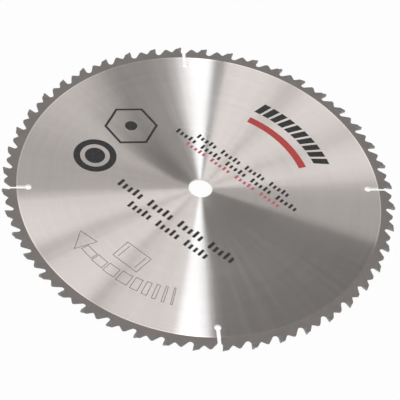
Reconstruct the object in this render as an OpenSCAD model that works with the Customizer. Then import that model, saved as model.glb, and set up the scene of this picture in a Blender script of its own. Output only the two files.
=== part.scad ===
// Circular saw blade with carbide tips. One steel plate, cut round its rim into teeth, notches,
// chip limiters and gullets, carries a carbide tip in a seat at the front of every tooth.
// Frame: millimetres. The origin is the centre of the bore, half way through the plate.
// +Z leaves the marked face, and the four expansion slots lie on the X and Y axes.
// Seen from +Z the teeth point clockwise.

/* [Blade] */
// Diameter of the circle that the cutting edges run on
blade_d = 500; // [490:1:510]
// Diameter of the bore
bore_d = 30; // [25:0.5:35]
// Break of the bore's two edges
bore_break = 0.3; // [0.1:0.1:0.6]
// Thickness of the steel plate
plate_t = 2.8; // [2.4:0.1:3]
// Width of the cut, over the front edge of a carbide tip
kerf = 4; // [3.8:0.1:4.6]

/* [Teeth] */
// Number of teeth
teeth = 44; // [40:4:48]
// Angle by which a tooth's front face leans forward of the radius
hook = 8; // [0:1:12]
// Angle by which a tooth's top falls away behind its cutting edge
relief = 12; // [8:1:16]
// Length of a tooth's top, from the cutting edge to the end of the heel
land_l = 8.5; // [7:0.5:9.5]
// Radius of the heel
heel_r = 1; // [0.5:0.1:1.5]
// How far the steel of the top lies below the top of the tip
land_drop = 0.5; // [0.3:0.1:0.8]
// Radius of the gullet in front of a tooth
gullet_r = 3.8; // [3:0.1:4.2]

/* [Chip limiters] */
// Distance of the notch behind the cutting edge, along the cutting circle
notch_at = 14; // [13:0.5:15]
// Depth of the notch below the cutting circle
notch_depth = 8; // [7:0.5:9]
// Radius of the notch's floor
notch_r = 2; // [1.5:0.1:2.4]
// Distance of the limiter's crest behind the cutting edge, along the cutting circle
limiter_at = 21.5; // [20.5:0.5:22.5]
// Depth of the crest below the cutting circle
limiter_drop = 3.2; // [1.5:0.1:4]
// Radius of the crest
limiter_r = 3; // [2:0.1:3.4]

/* [Carbide tips] */
// Length of a tip along the front face of its tooth
tip_l = 7.5; // [6:0.5:9]
// Thickness of a tip, square to that face
tip_t = 3.2; // [2.6:0.1:3.8]
// Lip of steel between a tip and the start of the gullet
tip_lip = 0.3; // [0.2:0.1:1]
// Bevel across a tip's top, to one side and the other in turn
bevel = 10; // [0:1:15]
// Angle by which each side of a tip closes in towards the bore
side_in = 1.5; // [0.5:0.5:2]
// Angle by which each side of a tip closes in towards its back
side_back = 3; // [1:0.5:3.5]

/* [Expansion slots] */
// Number of slots
slots = 4; // [2:2:4]
// Width of a slot
slot_w = 4.8; // [2:0.2:5.4]
// Diameter of the round hole in which a slot ends
slot_hole_d = 8.5; // [6:0.5:10]
// Distance from the centre of the bore to the centre of that hole
slot_hole_at = 217; // [205:1:224]

/* [Hidden] */
$fn = 96;
tip_r = blade_d / 2;
pitch = 360 / teeth;

// In the frame of one tooth its cutting edge is on +X, and behind it is towards +Y
edge = [tip_r, 0];
// Inwards along the front face, and backwards square to it
inward = [-cos(hook), sin(hook)];
backward = [sin(hook), cos(hook)];
// Backwards along the top, and outwards square to it
fall = [-sin(relief), cos(relief)];
rise = [cos(relief), sin(relief)];

// Depth by which a straight flank runs into the arc at its end, so that the two always cross
bite = 0.003;

// A point at radius r, s millimetres behind the cutting edge along the cutting circle
function behind(r, s) = r * [cos(s / tip_r * 180 / PI), sin(s / tip_r * 180 / PI)];

function turned(p, a) = [p.x * cos(a) - p.y * sin(a), p.x * sin(a) + p.y * cos(a)];

// The line that touches a round of steel and crosses over to touch a hollow: its two ends.
// The steel round is given first, and side picks one of the two such lines.
function crossing(round_c, round_r, hollow_c, hollow_r, side) =
    let (
        gap = norm(hollow_c - round_c),
        along = (hollow_c - round_c) / gap,
        share = (round_r + hollow_r - 2 * bite) / gap,
        aside = side * sqrt(1 - share * share),
        square_to = share * along + aside * [-along.y, along.x]
    )
    [round_c + (round_r - bite) * square_to, hollow_c - (hollow_r - bite) * square_to];

// Centres of the arcs, from the cutting edge backwards to the next tooth
heel_c = edge + (land_l - heel_r) * fall - (land_drop + heel_r - bite) * rise;
notch_c = behind(tip_r - notch_depth + notch_r, notch_at);
crest_c = behind(tip_r - limiter_drop - limiter_r, limiter_at);
gullet_start = edge + (tip_l + tip_lip) * inward;
gullet_c = gullet_start - (gullet_r - bite) * backward;
next_gullet_c = turned(gullet_c, pitch);

// Straight flanks between those arcs
heel_flank = crossing(heel_c, heel_r, notch_c, notch_r, -1);
limiter_flank = crossing(crest_c, limiter_r, notch_c, notch_r, 1);
limiter_ramp = crossing(crest_c, limiter_r, next_gullet_c, gullet_r, -1);

// Each slot leaves from the floor of a gullet, so the first tooth stands just behind +X
first_tooth = -atan2(gullet_c.y, gullet_c.x);
function tooth_angle(i) = first_tooth + (i - 1) * pitch;

// Reach of a cut past the surface that it leaves by
over = 3;

function tip_name(i) = str("carbide_tip_", i < 10 ? "0" : "", i);

// Moves its children to the front face of a tooth: +X outwards along it, +Y into the tooth
module on_face() {
    translate(edge)
    rotate(-hook)
    children();
}

// What is cut away between the top of one tooth and the front face of the next
module tooth_gap() {
    difference() {
        union() {
            polygon(concat(
                [edge - land_drop * rise, heel_c + (heel_r - bite) * rise],
                heel_flank,
                [limiter_flank[1], limiter_flank[0]],
                limiter_ramp,
                [turned(gullet_start, pitch), turned(edge - 2 * over * inward, pitch)],
                [edge + 2 * over * rise]
            ));
            translate(notch_c)
            circle(r = notch_r);
            translate(next_gullet_c)
            circle(r = gullet_r);
        }
        translate(heel_c)
        circle(r = heel_r);
        translate(crest_c)
        circle(r = limiter_r);
    }
}

// Seat of a tip, open to the front and the top
module tip_seat() {
    on_face()
    translate([-tip_l, -over / 3])
    square([tip_l + over, over / 3 + tip_t]);
}

// Radial slot with a round end, lying on +X
module expansion_slot() {
    translate([slot_hole_at, -slot_w / 2])
    square([norm(gullet_c) - slot_hole_at, slot_w]);
    translate([slot_hole_at, 0])
    circle(d = slot_hole_d);
}

module bore() {
    cylinder(d = bore_d, h = plate_t + 2 * over, center = true);
    for (side = [0, 1])
    mirror([0, 0, side])
    translate([0, 0, plate_t / 2 - bore_break])
    cylinder(d1 = bore_d, d2 = bore_d + 2 * (bore_break + over), h = bore_break + over);
}

module saw_plate() {
    color([0.74, 0.74, 0.72])
    difference() {
        linear_extrude(height = plate_t, center = true)
        difference() {
            circle(r = tip_r);
            for (i = [1:teeth])
            rotate(tooth_angle(i))
            tooth_gap();
            for (i = [1:teeth])
            rotate(tooth_angle(i))
            tip_seat();
            for (i = [1:slots])
            rotate(i * 360 / slots)
            expansion_slot();
        }
        bore();
    }
}

// Half the width of a tip, d millimetres from its cutting edge, where its side closes in by a
function half_width(d, a) = kerf / 2 - d * tan(a);

// Bar with the tip's outline in the plate's plane, narrower at its back than at its front
module tip_bar() {
    on_face()
    translate([-tip_l, 0, 0])
    rotate([90, 0, 90])
    linear_extrude(height = tip_l + over)
    polygon([
        [0, half_width(0, side_back)],
        [0, -half_width(0, side_back)],
        [tip_t, -half_width(tip_t, side_back)],
        [tip_t, half_width(tip_t, side_back)]
    ]);
}

// Bar along the fall of the top, with the bevel across it, closing in towards the bore
module tip_top() {
    low = kerf * tan(bevel);
    deep = tip_l + tip_t + over;
    translate(edge)
    rotate([90, 0, relief])
    linear_extrude(height = 8 * tip_t, center = true)
    polygon([
        [0, half_width(0, side_in)],
        [-low, -half_width(low, side_in)],
        [-deep, -half_width(deep, side_in)],
        [-deep, half_width(deep, side_in)]
    ]);
}

module carbide_tip(i) {
    color([0.36, 0.36, 0.38])
    rotate(tooth_angle(i))
    mirror([0, 0, i % 2])
    intersection() {
        tip_bar();
        tip_top();
    }
}

saw_plate();
for (i = [1:teeth]) carbide_tip(i);
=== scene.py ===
# %% [markdown]
# # A circular saw blade with carbide tips
# The blade is one flat steel plate with a carbide tip brazed into the front of every tooth. Its solids
# already come from the CAD model, so this lesson is about how such a blade looks: steel brushed in
# circles, a dull blasted rim, dark ground carbide, and thin ink on one face.

# %% Load the solids
import math

import bmesh
import bpy
from mathutils import Matrix, Vector


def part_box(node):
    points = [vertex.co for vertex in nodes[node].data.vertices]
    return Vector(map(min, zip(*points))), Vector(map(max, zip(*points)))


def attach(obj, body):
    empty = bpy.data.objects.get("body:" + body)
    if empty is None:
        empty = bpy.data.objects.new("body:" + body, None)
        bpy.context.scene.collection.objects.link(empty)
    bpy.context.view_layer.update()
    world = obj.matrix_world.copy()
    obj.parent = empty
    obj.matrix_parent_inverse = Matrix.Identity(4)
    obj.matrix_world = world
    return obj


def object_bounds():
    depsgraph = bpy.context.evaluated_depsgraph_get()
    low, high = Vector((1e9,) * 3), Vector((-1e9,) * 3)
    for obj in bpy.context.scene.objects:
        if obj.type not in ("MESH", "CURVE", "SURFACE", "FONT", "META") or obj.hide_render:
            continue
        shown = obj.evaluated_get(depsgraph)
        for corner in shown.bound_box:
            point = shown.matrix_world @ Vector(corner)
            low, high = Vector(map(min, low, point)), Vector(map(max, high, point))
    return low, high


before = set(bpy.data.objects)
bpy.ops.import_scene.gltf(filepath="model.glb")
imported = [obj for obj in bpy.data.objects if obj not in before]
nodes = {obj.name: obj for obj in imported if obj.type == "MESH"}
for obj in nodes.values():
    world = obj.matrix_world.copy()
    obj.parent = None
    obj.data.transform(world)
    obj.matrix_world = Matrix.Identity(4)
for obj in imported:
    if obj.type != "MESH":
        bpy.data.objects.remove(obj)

cad_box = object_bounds()
print(len(nodes), "solids in a box from", tuple(cad_box[0]), "to", tuple(cad_box[1]))

# %% [markdown]
# ## One turn between two frames
# The plate's own axes run along its expansion slots. In the picture the blade is turned a little under
# the camera, so places read from the picture are given with X to the right and Y away from the camera,
# and turned into the plate's axes by one matrix. That keeps every number below easy to check by eye.

# %% Turn from the picture's axes into the plate's
MM = 0.001
BLADE_TURN = math.radians(13.35)
to_plate = Matrix.Rotation(-BLADE_TURN, 4, "Z")
plate_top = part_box("saw_plate")[1].z
floor_z = cad_box[0].z
print("plate face at", plate_top, "m, floor at", floor_z, "m")

# %% [markdown]
# ## The camera
# The view is a long lens from above, tilted sideways a little. A camera's three axes can be written
# straight into its matrix, which is clearer here than Euler angles, because the tilt is simply a turn of
# the right and up axes about the line of sight. The aim is a point of the plate a little nearer than the
# bore, so that the blade sits where it does in the picture.

# %% Camera
SENSOR = 36
DISTANCE = 2.1715
ELEVATION = math.radians(48.7)
TILT = math.radians(10.52)
LENS = 154.6
AIM = (2.1 * MM, -18.6 * MM, 0)


def look(name, place, aim, tilt, lens):
    data = bpy.data.cameras.new(name)
    data.lens = lens
    data.sensor_width = SENSOR
    sight = (aim - place).normalized()
    level = sight.cross(Vector((0, 0, 1))).normalized()
    upright = level.cross(sight)
    right = level * math.cos(tilt) + upright * math.sin(tilt)
    up = upright * math.cos(tilt) - level * math.sin(tilt)
    camera = bpy.data.objects.new(name, data)
    camera.matrix_world = Matrix((right, up, -sight)).transposed().to_4x4()
    camera.matrix_world.translation = place
    bpy.context.collection.objects.link(camera)
    return camera


place = to_plate @ Vector((0, -DISTANCE * math.cos(ELEVATION), DISTANCE * math.sin(ELEVATION)))
camera = look("camera", place, to_plate @ Vector(AIM), TILT, LENS)
bpy.context.scene.camera = camera
bpy.context.scene.view_settings.view_transform = "Standard"
print("camera at", tuple(round(v, 3) for v in camera.location))

# %% [markdown]
# ## Shader sums as Python
# A finish on a round blade is mostly arithmetic on the distance from the bore. Wiring Math nodes by hand
# hides that arithmetic, so a small class wraps a socket: adding or multiplying two of them adds the Math
# node and gives back its output. The reflected forms let a plain number stand first, as in 1 - mask.

# %% Sockets that can be added and multiplied
class Socket:
    """The output of a node, which can be used in a Python expression."""

    def __init__(self, bench, out):
        self.bench = bench
        self.out = out

    def maths(self, operation, a, b):
        return self.bench.add("ShaderNodeMath", {"operation": operation}, {0: a, 1: b})

    def __add__(self, other):
        return self.maths("ADD", self, other)

    __radd__ = __add__

    def __sub__(self, other):
        return self.maths("SUBTRACT", self, other)

    def __rsub__(self, other):
        return self.maths("SUBTRACT", other, self)

    def __mul__(self, other):
        return self.maths("MULTIPLY", self, other)

    __rmul__ = __mul__

    def __truediv__(self, other):
        return self.maths("DIVIDE", self, other)

    def __rtruediv__(self, other):
        return self.maths("DIVIDE", other, self)

    def __pow__(self, other):
        return self.maths("POWER", self, other)

    def __rpow__(self, other):
        return self.maths("POWER", other, self)


print("sockets are ready for sums")

# %% [markdown]
# ## A bench for node trees
# Every node comes from one method, which takes the node's type, its settings and its sockets. A socket's
# value is a plain number or colour, or another node's output, which is then linked. The few nodes that
# come back in every finish get a short method of their own on top of it.

# %% Node trees
class Bench:
    """The node tree of one material or world, emptied and ready for new nodes."""

    def __init__(self, owner):
        owner.use_nodes = True
        self.owner = owner
        self.tree = owner.node_tree
        self.tree.nodes.clear()

    def add(self, kind, settings=None, sockets=None, out=0):
        node = self.tree.nodes.new(kind)
        for name, value in (settings or {}).items():
            setattr(node, name, value)
        for name, value in (sockets or {}).items():
            if isinstance(value, Socket):
                self.tree.links.new(value.out, node.inputs[name])
            else:
                node.inputs[name].default_value = value
        return Socket(self, node.outputs[out]) if node.outputs else node

    def place(self):
        """The point of the object that is being shaded."""
        return self.add("ShaderNodeTexCoord", out="Object")

    def noise(self, where, scale, detail):
        pattern = {"Vector": where, "Scale": scale, "Detail": detail}
        return self.add("ShaderNodeTexNoise", sockets=pattern)

    def step(self, value, low, high):
        """A soft step from 0 at the low value to 1 at the high one."""
        ends = {"Value": value, "From Min": low, "From Max": high}
        return self.add("ShaderNodeMapRange", {"interpolation_type": "SMOOTHSTEP"}, ends)

    def shade(self, amount, dark, light):
        """A colour between two. A Mix node has its colours at sockets 6 and 7, and its result at 2."""
        ends = {0: amount, 6: (*dark, 1), 7: (*light, 1)}
        return self.add("ShaderNodeMix", {"data_type": "RGBA"}, ends, out=2)

    def bump(self, height, strength, distance):
        relief = {"Height": height, "Strength": strength, "Distance": distance}
        return self.add("ShaderNodeBump", sockets=relief)

    def surface(self, shader):
        """Ends the tree with a shader, and gives back the finished material."""
        self.add("ShaderNodeOutputMaterial", sockets={"Surface": shader})
        return self.owner


def linear(red, green, blue):
    """A colour as it is read from a screen, 0 to 255, in the linear values that shaders use."""
    shares = (c / 255 for c in (red, green, blue))
    return tuple(((c + 0.055) / 1.055) ** 2.4 if c > 0.04 else c / 12.92 for c in shares)


print("mid grey on a screen is", round(linear(128, 128, 128)[0], 3), "in a shader")

# %% [markdown]
# ## Steel brushed in circles
# A belt or brush turned round the bore leaves fine scratches along circles. Light that meets such
# scratches spreads across them and not along them, which draws bright and dark sectors from the bore to
# the rim. Bump alone can't do that at this scale, so the shader's own anisotropy does it: with no tangent
# linked, the renderer takes the tangent round the object's Z axis, and a quarter of a turn makes the
# light spread across the circles. Faint rings and spokes then keep the steel from looking perfect. Near
# the bore the steel runs slowly under the brush, so the scratches there are finer, and the roughness
# falls towards the bore.
#
# The rim was blasted after brazing. It is the same steel with a dull, even, darker face, so it is a
# second shader, and the distance from the bore decides which of the two is seen. Just inside the rim,
# a thin ring of the brushed steel is painted lighter, a painted highlight for the edge where the
# blasting stops.

# %% Plate steel
RIM_START = 231.6 * MM
RIM_EDGE = 0.3 * MM
# Width of the painted highlight, a lighter ring painted just inside the blasted rim
PAINTED_HIGHLIGHT_WIDTH = 2.0 * MM
SLOW_RADIUS = 20 * MM
FAST_RADIUS = 150 * MM
FINER = 0.5
BRUSHED_DARK = (0.61, 0.58, 0.57)
BRUSHED_LIGHT = (0.87, 0.83, 0.82)
BLASTED_DARK = (0.195, 0.182, 0.175)
BLASTED_LIGHT = (0.38, 0.354, 0.342)
# Keeps the radius off zero, because x and y are divided by it
NEVER_ZERO = 1e-9
# How fast the grain changes with height, for the walls of the bore and the gullets
WALL_GRAIN = 40


def plate_steel():
    bench = Bench(bpy.data.materials.new("brushed_plate_steel"))
    where = bench.place()
    x, y, z = (bench.add("ShaderNodeSeparateXYZ", sockets={0: where}, out=axis) for axis in "XYZ")
    radius = (x * x + y * y + NEVER_ZERO) ** 0.5
    east = x / radius
    north = y / radius

    def grain(across, along, detail):
        """Noise in polar places, so that it is stretched along circles or along spokes."""
        stretched = {0: radius * across, 1: east * along, 2: north * along + z * WALL_GRAIN}
        polar_place = bench.add("ShaderNodeCombineXYZ", sockets=stretched)
        return bench.noise(polar_place, scale=1, detail=detail)

    rings = grain(across=2200, along=2.5, detail=3)
    bands = grain(across=160, along=1.2, detail=2)
    spokes = grain(across=3, along=26, detail=3)
    patch = bench.noise(where, scale=9, detail=3)
    # Painted highlight: a thin ring just inside the rim is painted lighter, for the edge of the blasted
    # band
    line = bench.step(radius, RIM_START - PAINTED_HIGHLIGHT_WIDTH, RIM_START - PAINTED_HIGHLIGHT_WIDTH / 2)
    tone = rings * 0.3 + bands * 0.2 + spokes * 0.3 + patch * 0.2 + line * 0.6
    slow = 1 - bench.step(radius, SLOW_RADIUS, FAST_RADIUS)
    brushed = bench.add("ShaderNodeBsdfPrincipled", sockets={
        "Base Color": bench.shade(tone, BRUSHED_DARK, BRUSHED_LIGHT),
        "Metallic": 1.0,
        "Roughness": (0.08 + rings * 0.03 + spokes * 0.025) * (1 - slow * FINER),
        "Anisotropic": 1.0,
        "Anisotropic Rotation": 0.25,
        "Normal": bench.bump(rings, strength=0.06, distance=0.02 * MM)})

    grit = bench.noise(where, scale=1400, detail=3)
    cloud = bench.noise(where, scale=55, detail=4)
    blasted = bench.add("ShaderNodeBsdfPrincipled", sockets={
        "Base Color": bench.shade(grit * 0.5 + cloud * 0.5, BLASTED_DARK, BLASTED_LIGHT),
        "Metallic": 0.85,
        "Roughness": 0.58 + cloud * 0.12,
        "Normal": bench.bump(grit, strength=0.25, distance=0.05 * MM)})

    rim = bench.step(radius, RIM_START - RIM_EDGE, RIM_START + RIM_EDGE)
    return bench.surface(bench.add("ShaderNodeMixShader", sockets={0: rim, 1: brushed, 2: blasted}))


def dress(names, material):
    for name in names:
        slots = nodes[name].data.materials
        slots.clear()
        slots.append(material)


dress(["saw_plate"], plate_steel())
print("plate dressed, rim band from", RIM_START, "m")

# %% [markdown]
# ## Ground carbide
# The tips are sintered carbide, ground on every face. They are darker than steel, with a fine grain, and
# a little cloudy where the heat of brazing has tinted them. One metal shader with two noises is enough
# for faces of a few millimetres.

# %% Carbide
CARBIDE_DARK = (0.17, 0.17, 0.175)
CARBIDE_LIGHT = (0.40, 0.395, 0.39)


def ground_carbide():
    bench = Bench(bpy.data.materials.new("ground_carbide"))
    where = bench.place()
    grain = bench.noise(where, scale=900, detail=4)
    cloud = bench.noise(where, scale=120, detail=2)
    return bench.surface(bench.add("ShaderNodeBsdfPrincipled", sockets={
        "Base Color": bench.shade(grain * 0.4 + cloud * 0.6, CARBIDE_DARK, CARBIDE_LIGHT),
        "Metallic": 1.0,
        "Roughness": 0.32 + cloud * 0.16,
        "Normal": bench.bump(grain, strength=0.15, distance=0.03 * MM)}))


tips = sorted(name for name in nodes if name.startswith("carbide_tip"))
dress(tips, ground_carbide())
print(len(tips), "tips dressed")

# %% [markdown]
# ## Beads of braze
# A tip is wider than the plate, so it stands proud on both faces, and brazing leaves a small bead of
# filler in the corner between the two. A curve with a bevel could make it, but three three-cornered
# sections joined by flat faces give one closed bead with sharp ends. The bead follows two edges of the
# seat, the tip's back and then its inner end. Their ends are read from the tip's own corners. The teeth
# point clockwise, so the corner farthest back and out is the one that lies farthest along the sum of the
# anticlockwise and the outward direction, and the other two are found the same way.

# %% Shape of a bead
BEAD_WIDTH = 0.5 * MM
BEAD_RISE = 0.22 * MM
BARE_TOP = 0.15


def seat_edges(tip):
    """Where the bead starts, turns and ends, as points in the plate's plane."""
    corners = [(tip.matrix_world @ v.co).to_2d() for v in tip.data.vertices]
    out = sum(corners, Vector((0, 0))).normalized()
    back = Vector((-out.y, out.x))
    top = max(corners, key=lambda p: p.dot(back + out))
    turn = max(corners, key=lambda p: p.dot(back - out))
    end = min(corners, key=lambda p: p.dot(back + out))
    return top.lerp(turn, BARE_TOP), turn, end


def away(edge, inside):
    """The direction square to an edge that points away from the inside."""
    out = edge.orthogonal().normalized()
    return -out if out.dot(inside) > 0 else out


def bead(mesh, edges, side):
    start, turn, end = edges
    out_back = away(start - turn, end - turn)
    out_end = away(end - turn, start - turn)
    sections = []
    for spot, out in ((start, out_back), (turn, out_back + out_end), (end, out_end)):
        foot = spot + out * BEAD_WIDTH
        corners = ((spot, plate_top), (foot, plate_top), (spot, plate_top + BEAD_RISE))
        sections.append([mesh.verts.new((*point, side * height)) for point, height in corners])
    for near, far in zip(sections, sections[1:]):
        for i, j in ((0, 1), (1, 2), (2, 0)):
            mesh.faces.new((near[i], near[j], far[j], far[i]))
    mesh.faces.new(sections[0])
    mesh.faces.new(sections[-1])


print("a bead is", BEAD_WIDTH, "m wide and", BEAD_RISE, "m high")

# %% [markdown]
# ## Filler, and a piece from a mesh
# The filler is brassy, but it was blasted with the rim, so its colour is dull. Everything that is added
# to the blade goes through one helper, which turns the mesh's normals outwards and makes the piece ride
# on the blade's body.

# %% Braze
FILLER_DARK = (0.27, 0.245, 0.205)
FILLER_LIGHT = (0.43, 0.395, 0.33)


def filler():
    bench = Bench(bpy.data.materials.new("braze_filler"))
    flow = bench.noise(bench.place(), scale=700, detail=3)
    return bench.surface(bench.add("ShaderNodeBsdfPrincipled", sockets={
        "Base Color": bench.shade(flow, FILLER_DARK, FILLER_LIGHT),
        "Metallic": 1.0,
        "Roughness": 0.45 + flow * 0.2,
        "Normal": bench.bump(flow, strength=0.3, distance=0.05 * MM)}))


def settle(name, mesh, finish):
    """Turns a built mesh into a piece of the blade with one finish."""
    bmesh.ops.recalc_face_normals(mesh, faces=mesh.faces)
    data = bpy.data.meshes.new(name)
    mesh.to_mesh(data)
    mesh.free()
    data.materials.append(finish)
    piece = bpy.data.objects.new(name, data)
    bpy.context.collection.objects.link(piece)
    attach(piece, "root")
    print(name, "has", len(data.polygons), "faces")


beads = bmesh.new()
for name in tips:
    for side in (1, -1):
        bead(beads, seat_edges(nodes[name]), side)
settle("braze_beads", beads, filler())

# %% [markdown]
# ## Ink on the plate
# Screen-printed ink is a film a few hundredths of a millimetre thick. An even colour would look like a
# sticker, so one noise thins each ink a little, and the thin places are mixed with the grey of the steel.

# %% Ink finishes
STEEL_GREY = 0.35
WEAR_STARTS = 0.35
WEAR_FULL = 0.75


def ink(name, colour, rough, thin):
    bench = Bench(bpy.data.materials.new(name))
    wear = bench.noise(bench.place(), scale=260, detail=4)
    pale = tuple(c + (STEEL_GREY - c) * thin for c in colour)
    return bench.surface(bench.add("ShaderNodeBsdfPrincipled", sockets={
        "Base Color": bench.shade(bench.step(wear, WEAR_STARTS, WEAR_FULL), colour, pale),
        "Roughness": rough + wear * 0.15,
        "Normal": bench.bump(wear, strength=0.08, distance=0.03 * MM)}))


inks = {
    "black": ink("black_ink", linear(30, 29, 31), rough=0.45, thin=0.06),
    "red": ink("red_ink", linear(194, 62, 58), rough=0.45, thin=0.08),
    "rose": ink("rose_ink", linear(200, 106, 112), rough=0.5, thin=0.15),
    "etched": ink("etched_line", linear(118, 113, 111), rough=0.6, thin=0.2),
}
print("inks:", ", ".join(inks))

# %% [markdown]
# ## Slabs of ink
# A printed shape could be a mask in the steel's shader, but a mask is only as sharp as its pixels when a
# model is exported. A thin closed slab for each shape stays sharp at any size, so the marks are meshes: a
# flat outline, filled or with a hole in it, and given the film's thickness.

# %% Slabs of ink
FILM = 0.03 * MM


class Print:
    """Printed shapes of one ink. Points are in millimetres, with X right and Y away in the picture."""

    def __init__(self):
        self.mesh = bmesh.new()

    def corner(self, point, height):
        spot = to_plate @ Vector((point[0] * MM, point[1] * MM, 0))
        return self.mesh.verts.new((spot.x, spot.y, plate_top + height))

    def fill(self, outline):
        top = [self.corner(p, FILM) for p in outline]
        base = [self.corner(p, 0) for p in outline]
        self.mesh.faces.new(top)
        self.mesh.faces.new(base[::-1])
        for i in range(len(outline)):
            j = (i + 1) % len(outline)
            self.mesh.faces.new((base[i], base[j], top[j], top[i]))

    def frame(self, outer, inner):
        rows = [[self.corner(p, h) for p in ring] for ring in (outer, inner) for h in (FILM, 0)]
        outer_top, outer_base, inner_top, inner_base = rows
        for i in range(len(outer)):
            j = (i + 1) % len(outer)
            self.mesh.faces.new((outer_top[i], outer_top[j], inner_top[j], inner_top[i]))
            self.mesh.faces.new((outer_base[j], outer_base[i], inner_base[i], inner_base[j]))
            self.mesh.faces.new((outer_base[i], outer_base[j], outer_top[j], outer_top[i]))
            self.mesh.faces.new((inner_base[j], inner_base[i], inner_top[i], inner_top[j]))


print("film of", FILM, "m on the plate")

# %% [markdown]
# ## Outlines
# On a round blade most outlines are easiest to give as a radius and an angle, so these helpers turn such
# pairs into points: a band between two arcs, a regular polygon, and a circle as a polygon with many sides.

# %% Outlines
ARC_STEPS = 24
CIRCLE_SIDES = 72


def polar(radius, degrees):
    return radius * math.cos(math.radians(degrees)), radius * math.sin(math.radians(degrees))


def arc_band(r0, r1, start, end):
    turns = [start + (end - start) * i / ARC_STEPS for i in range(ARC_STEPS + 1)]
    return [polar(r1, a) for a in turns] + [polar(r0, a) for a in reversed(turns)]


def regular(centre, radius, corners, first=0.0):
    around = (polar(radius, first + 360 * i / corners) for i in range(corners))
    return [(centre[0] + dx, centre[1] + dy) for dx, dy in around]


def circle(centre, radius):
    return regular(centre, radius, CIRCLE_SIDES)


print("a circle has", CIRCLE_SIDES, "sides")

# %% [markdown]
# ## Rows of blocks
# The face carries a few plain marks. The first are rows of small blocks, in black and in a paler red. The
# blocks of a row stand in equal groups, and they are easiest to place as equal steps along a straight line
# in which the step after each group stays empty. Every third block of a group is taller, which keeps a row
# from looking like a ruler.

# %% Rows of blocks
GROUP = 5
BLOCK_HALF = 0.25
BLOCK_BELOW = 0.4
BLOCK_TALL = 0.6
BLOCK_SHORT = 0.35
TALL_EVERY = 3


def row(sheet, start, end, height, groups):
    """A straight row of equal groups of blocks, with one empty step between two groups."""
    step = (Vector(end) - Vector(start)) / (groups * (GROUP + 1) - 1)
    half = step * BLOCK_HALF
    rise = Vector((-step.y, step.x)).normalized() * height
    for group in range(groups):
        for i in range(GROUP):
            middle = Vector(start) + step * (group * (GROUP + 1) + i + 0.5)
            base = middle - rise * BLOCK_BELOW
            top = middle + rise * (BLOCK_SHORT if i % TALL_EVERY else BLOCK_TALL)
            sheet.fill([base - half, base + half, top + half, top - half])


black = Print()
row(black, start=(-17, 88.5), end=(112.5, 13), height=8, groups=4)
row(black, start=(-45, 92), end=(124.5, -8.5), height=8, groups=5)
row(black, start=(-103.5, -13.5), end=(56.5, -108.5), height=12, groups=4)
row(black, start=(-85.5, -46), end=(24, -110), height=11, groups=3)

rose = Print()
row(rose, start=(-29.5, 72.5), end=(102.5, -7.5), height=6.5, groups=4)
settle("rose_print", rose.mesh, inks["rose"])

# %% [markdown]
# ## Spot and six-sided outline
# Two bolder marks follow, a spot in a ring and a six-sided outline with a dot. All the black marks share
# one mesh, because they share one ink, so these are added to the sheet that holds the black rows.

# %% Spot and six-sided outline
SPOT = (-139.5, 22)
SPOT_RADIUS = 13
RING_OUTSIDE = 27.5
RING_INSIDE = 19
HEXAGON = (-103, 84)
HEXAGON_OUTSIDE = 35
HEXAGON_INSIDE = 31.4
HEXAGON_TURN = 15
DOT_RADIUS = 8

black.frame(circle(SPOT, RING_OUTSIDE), circle(SPOT, RING_INSIDE))
black.fill(circle(SPOT, SPOT_RADIUS))
black.frame(
    regular(HEXAGON, HEXAGON_OUTSIDE, corners=6, first=HEXAGON_TURN),
    regular(HEXAGON, HEXAGON_INSIDE, corners=6, first=HEXAGON_TURN))
black.fill(circle(HEXAGON, DOT_RADIUS))
print("spot at", SPOT, "and outline at", HEXAGON, "mm")

# %% [markdown]
# ## Toothed band over an arc
# The last printed mark is a band of black leaning teeth over a plain red arc. A tooth is a four-cornered
# outline whose top is turned a little farther round the bore than its foot. Drawing one and copying it
# would do, but a loop that steps round the circle keeps every tooth exact, with no copies to place.

# %% Toothed band over an arc
BAND_START = 71
BAND_END = 28
BAND_TEETH = 10
ARC_INSIDE = 136
ARC_OUTSIDE = 146
TOOTH_FOOT = 158
TOOTH_TOP = 178
TOOTH_STEP = 4.3
TOOTH_WIDTH = 3.1
TOOTH_LEAN = 2.2

for i in range(BAND_TEETH):
    first = BAND_START - TOOTH_STEP * i
    last = first - TOOTH_WIDTH
    foot = [polar(TOOTH_FOOT, first), polar(TOOTH_FOOT, last)]
    top = [polar(TOOTH_TOP, last - TOOTH_LEAN), polar(TOOTH_TOP, first - TOOTH_LEAN)]
    black.fill(foot + top)
red = Print()
red.fill(arc_band(ARC_INSIDE, ARC_OUTSIDE, BAND_END, BAND_START))
settle("black_print", black.mesh, inks["black"])
settle("red_print", red.mesh, inks["red"])

# %% [markdown]
# ## Etched outlines
# A blade has to show which way it turns, and its arrow is etched as thin outlines. An outline could be a
# curve with a thickness, but a frame between a shape and the same shape made smaller by the width of a
# line stays flat, closed and sharp.

# %% Etched outlines
LINE = 0.8


def curved_box(r0, r1, start, end):
    """A box between two circles and two angles, with a middle point on its curved sides."""
    middle = (start + end) / 2
    outer = [polar(r1, a) for a in (start, middle, end)]
    return [polar(r0, start)] + outer + [polar(r0, end), polar(r0, middle)]


def outline_box(sheet, r0, r1, start, end):
    turn = math.degrees(LINE / ((r0 + r1) / 2))
    inner = curved_box(r0 + LINE, r1 - LINE, start + turn, end - turn)
    sheet.frame(curved_box(r0, r1, start, end), inner)


def shrink(points, amount):
    """The triangle inside a triangle, its sides moved in by that amount."""
    lengths = [math.dist(points[(i + 1) % 3], points[(i + 2) % 3]) for i in range(3)]
    centre = [sum(w * p[k] for w, p in zip(lengths, points)) / sum(lengths) for k in (0, 1)]
    half = sum(lengths) / 2
    area = math.sqrt(half * math.prod(half - side for side in lengths))
    keep = 1 - amount / (area / half)
    return [[c + (v - c) * keep for c, v in zip(centre, p)] for p in points]


print("etched lines are", LINE, "mm wide")

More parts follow.
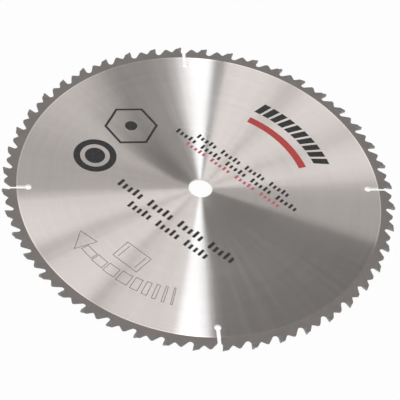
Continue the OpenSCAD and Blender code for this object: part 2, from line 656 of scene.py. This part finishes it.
# %% [markdown]
# ## The direction arrow
# The arrow has a head, then boxes that grow taller towards the tail and narrower along the circle as they
# fade out. Each box starts where the last one ended, after a gap that grows a little, so one running angle
# places them all.

# %% Direction arrow
ARROW_RADIUS = 179
TAIL_START = -134.6
TAIL_WIDTHS = (6.0, 5.4, 5.4, 5.0, 3.3, 2.4, 1.7, 1.2, 0.9)
FIRST_RISE = 6
RISE_STEP = 1.1
OUTER_SHARE = 0.8
FIRST_GAP = 0.4
GAP_STEP = 0.28

etched = Print()
head = [polar(170, -142.6), polar(161, -133.8), polar(192, -135.8)]
etched.frame(head, shrink(head, LINE))
at = TAIL_START
for i, width in enumerate(TAIL_WIDTHS):
    rise = FIRST_RISE + RISE_STEP * i
    outline_box(etched, ARROW_RADIUS - rise, ARROW_RADIUS + rise * OUTER_SHARE, at, at + width)
    at += width + FIRST_GAP + GAP_STEP * i
print("arrow from", TAIL_START, "to", round(at, 1), "degrees")

# %% [markdown]
# ## The small frame
# Beside the arrow is a small etched frame with a line at each end. It stands at an angle, so its boxes are
# worked out from a centre and the direction of their long side.

# %% Small frame
FRAME_AT = (-66.5, -129.6)
FRAME_ALONG = (32.6, -20)
FRAME_LENGTH = 38.6
FRAME_WIDTH = 28.6
BAR_LENGTH = 21
BAR_SHIFT = 13


def box_at(centre, along, length, width, shift=0.0):
    """A rectangle whose long side points along a direction, moved by shift in that direction."""
    ahead = Vector(along).normalized()
    aside = Vector((-ahead.y, ahead.x))
    middle = Vector(centre) + ahead * shift
    corners = ((-1, -1), (1, -1), (1, 1), (-1, 1))
    return [middle + ahead * (length / 2 * u) + aside * (width / 2 * v) for u, v in corners]


etched.frame(
    box_at(FRAME_AT, FRAME_ALONG, FRAME_LENGTH, FRAME_WIDTH),
    box_at(FRAME_AT, FRAME_ALONG, FRAME_LENGTH - 2 * LINE, FRAME_WIDTH - 2 * LINE))
for shift in (-BAR_SHIFT, BAR_SHIFT):
    etched.fill(box_at(FRAME_AT, FRAME_ALONG, LINE, BAR_LENGTH, shift))
settle("etched_marks", etched.mesh, inks["etched"])

# %% [markdown]
# ## Floor
# The blade lies on a plain white table. A camera ray that meets the table sees mostly plain white, with a
# share of real light left in it, so that the table is as pale as in the picture and still takes a soft
# shadow. The steel's mirrored rays see the same white.

# %% Floor
PAPER = (0.88, 0.88, 0.88)
PLAIN_SHARE = 0.95
FLOOR_HALF = 12
FLOOR_GAP = 0.02 * MM


def pale_table():
    bench = Bench(bpy.data.materials.new("pale_table"))
    camera_ray = bench.add("ShaderNodeLightPath", out="Is Camera Ray")
    glossy_ray = bench.add("ShaderNodeLightPath", out="Is Glossy Ray")
    clear_ray = bench.add("ShaderNodeLightPath", out="Is Transmission Ray")
    plain = (camera_ray + glossy_ray + clear_ray) * PLAIN_SHARE
    paper = bench.add("ShaderNodeBsdfDiffuse", sockets={"Color": (*PAPER, 1)})
    white = bench.add("ShaderNodeEmission", sockets={"Color": (1, 1, 1, 1), "Strength": 1.0})
    return bench.surface(bench.add("ShaderNodeMixShader", sockets={0: plain, 1: paper, 2: white}))


ground = bmesh.new()
bmesh.ops.create_grid(ground, x_segments=1, y_segments=1, size=FLOOR_HALF)
floor_mesh = bpy.data.meshes.new("floor")
ground.to_mesh(floor_mesh)
ground.free()
floor_mesh.materials.append(pale_table())
floor = bpy.data.objects.new("floor", floor_mesh)
floor.location.z = floor_z - FLOOR_GAP
bpy.context.collection.objects.link(floor)
print("floor at", floor.location.z)

# %% [markdown]
# ## Light
# The room is plain and pale all round, so that inks and rim look about as they are written. A world with
# one colour is the simplest soft light, and it is the same from every side.

# %% Pale room
ROOM_COLOUR = (1, 0.98, 0.96)


def room(colour, strength):
    world = bpy.data.worlds.new("room")
    bpy.context.scene.world = world
    bench = Bench(world)
    air = bench.add("ShaderNodeBackground", sockets={"Color": (*colour, 1), "Strength": strength})
    bench.add("ShaderNodeOutputWorld", sockets={"Surface": air})


room(ROOM_COLOUR, strength=1.0)
print("room of plain light")

# %% [markdown]
# ## Panels for the brushed steel
# Brushed steel shows the room along lines that pass through one point of the ceiling, the one in which the
# bore mirrors the camera. Each sector of the blade is then a picture of one slice of the ceiling round
# that point. So a dim round sheet hangs there, and under it panels in the same slices: pale ones right and
# left, two narrow bright ones that draw the white wedge through the bore, and a bare stretch that leaves
# one sector dark. A rectangular lamp would blur the borders, so each panel is a slice of a ring with a
# plain glow. The bright ones are a little cool, because the steel warms what it mirrors. All of them end
# before they hang over the blade, because the steel would otherwise mirror a burnt-out patch when it is
# seen from straight above.

# %% Panels as slices of a ring
PANEL_HEIGHT = 2.0
PANEL_REACH = 1.25
WARM = (1, 0.97, 0.94)
COOL = (0.95, 0.985, 1)
mirror_point = Vector((0, PANEL_HEIGHT / math.tan(ELEVATION), PANEL_HEIGHT))


def glow(name, tint, strength):
    bench = Bench(bpy.data.materials.new(name))
    lamp = {"Color": (*tint, 1), "Strength": strength}
    return bench.surface(bench.add("ShaderNodeEmission", sockets=lamp))


def panel(name, start, end, radiance, near=0.0, far=PANEL_REACH, centre=mirror_point, tint=WARM):
    """A glowing slice of a ring round a centre, between two angles from the picture's X axis."""
    mesh = bmesh.new()
    outline = [Vector((*p, 0)) for p in arc_band(near, far, start, end)]
    mesh.faces.new([mesh.verts.new(to_plate @ (centre + p)) for p in outline])
    bmesh.ops.remove_doubles(mesh, verts=mesh.verts, dist=MM)
    data = bpy.data.meshes.new(name)
    mesh.to_mesh(data)
    mesh.free()
    data.materials.append(glow(name, tint, radiance))
    lamp = bpy.data.objects.new(name, data)
    lamp.visible_camera = False
    bpy.context.collection.objects.link(lamp)
    print(name, "from", start, "to", end, "degrees")


print("panels hang round", tuple(round(v, 3) for v in mirror_point))

# %% [markdown]
# ## The panels one by one
# The dim sheet comes first, in two halves, because a slice of a whole turn would meet itself. Then the
# panels go round the mirror point, anticlockwise from the right. Their angles and strengths were found by
# comparing renders with the picture, sector by sector, so they are written out and not worked out.

# %% Dim sheet and panels
BACKING_GAP = 0.01
BACKING_GLOW = 0.185
SLICE_GLOW = 1.7
behind_panels = mirror_point + Vector((0, 0, BACKING_GAP))

# Each line gives a name, the first and the last angle in degrees, and the radiance
for half in (0, 180):
    panel(f"backing_{half}", half, half + 180, BACKING_GLOW, centre=behind_panels)
panel("right_panel", -9, 18, 0.51)
panel("far_right_panel_1", 18, 38.5, 1.02)
panel("far_right_panel_2", 42, 64.5, 1.02)
panel("far_right_panel_3", 67.5, 89.5, 0.98)
panel("far_slice", 93.5, 104.5, SLICE_GLOW, tint=COOL)
panel("far_left_panel_1", 104.5, 111, 0.48)
panel("far_left_panel_2", 111, 132, 0.34)
panel("far_left_panel_3", 132, 153, 0.72, near=0.38)
panel("far_left_panel_4", 153, 159, 0.66, near=0.25)
panel("far_left_panel_5", 159, 168, 0.63, near=0.12)
panel("left_panel", 168, 197.5, 0.51)
panel("near_left_panel_1", 197.5, 220, 0.97)
panel("near_left_panel_2", 223.5, 244.5, 0.97)
panel("near_left_panel_3", 247.5, 271, 0.88)
panel("near_slice", 271, 280.5, SLICE_GLOW, tint=COOL)

# %% [markdown]
# ## Battens for the other sides
# From the other sides the steel would mirror nothing but the even room and look like paper. Dim battens,
# like the spokes of a wheel above the bore, give it something to show.

# %% Battens
BATTENS = 16
BATTEN_WIDTH = 10
BATTEN_GLOW = 0.3
BATTEN_NEAR = 1.0
BATTEN_FAR = 5.0
above_bore = Vector((0, 0, PANEL_HEIGHT + 2 * BACKING_GAP))
for i in range(BATTENS):
    start = 360 * (i + 0.5) / BATTENS - BATTEN_WIDTH / 2
    panel(f"batten_{i}", start, start + BATTEN_WIDTH, BATTEN_GLOW, BATTEN_NEAR, BATTEN_FAR, above_bore)
